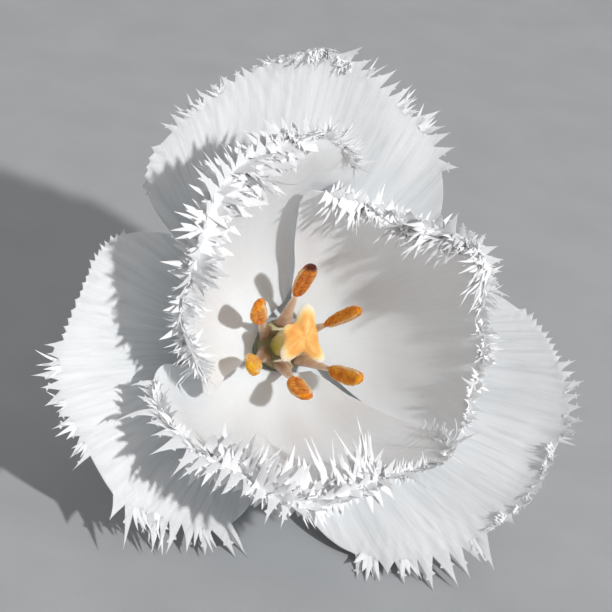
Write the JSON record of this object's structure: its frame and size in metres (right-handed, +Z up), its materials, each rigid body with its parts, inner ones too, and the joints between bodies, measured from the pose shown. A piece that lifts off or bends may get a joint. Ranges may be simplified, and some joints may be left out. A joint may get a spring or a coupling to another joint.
{
  "type": "fringed tulip",
  "caption": "Open white fringed tulip bloom on a bare cut stem, lying on its side, with jagged petal edges and orange anthers.",
  "frame": {"origin": "on the surface the flower lies on, under the middle of its bounding box", "axes": "+Z up from the surface, +Y from the bloom's open mouth back along the lying stem to its cut end, +X to the right as seen looking into the bloom"},
  "size_m": [0.0966, 0.1856, 0.0838],
  "materials": {
    "petal": "matt white petal tissue with a faint satin sheen",
    "stem": "smooth pale-bloomed green stalk",
    "filament": "smooth, slightly translucent",
    "anther": "powdery orange pollen",
    "ovary": "smooth yellow-green",
    "stigma": "soft, finely velvety cream"
  },
  "bodies": {
    "root": {"stem": "stem", "outer_tepal_top": "petal", "outer_tepal_left": "petal", "outer_tepal_right": "petal", "inner_tepal_right": "petal", "inner_tepal_bottom": "petal", "inner_tepal_left": "petal", "filament_1": "filament", "filament_2": "filament", "filament_3": "filament", "filament_4": "filament", "filament_5": "filament", "filament_6": "filament", "anther_1": "anther", "anther_2": "anther", "anther_3": "anther", "anther_4": "anther", "anther_5": "anther", "anther_6": "anther", "ovary": "ovary", "stigma": "stigma"}
  },
  "joints": []
}
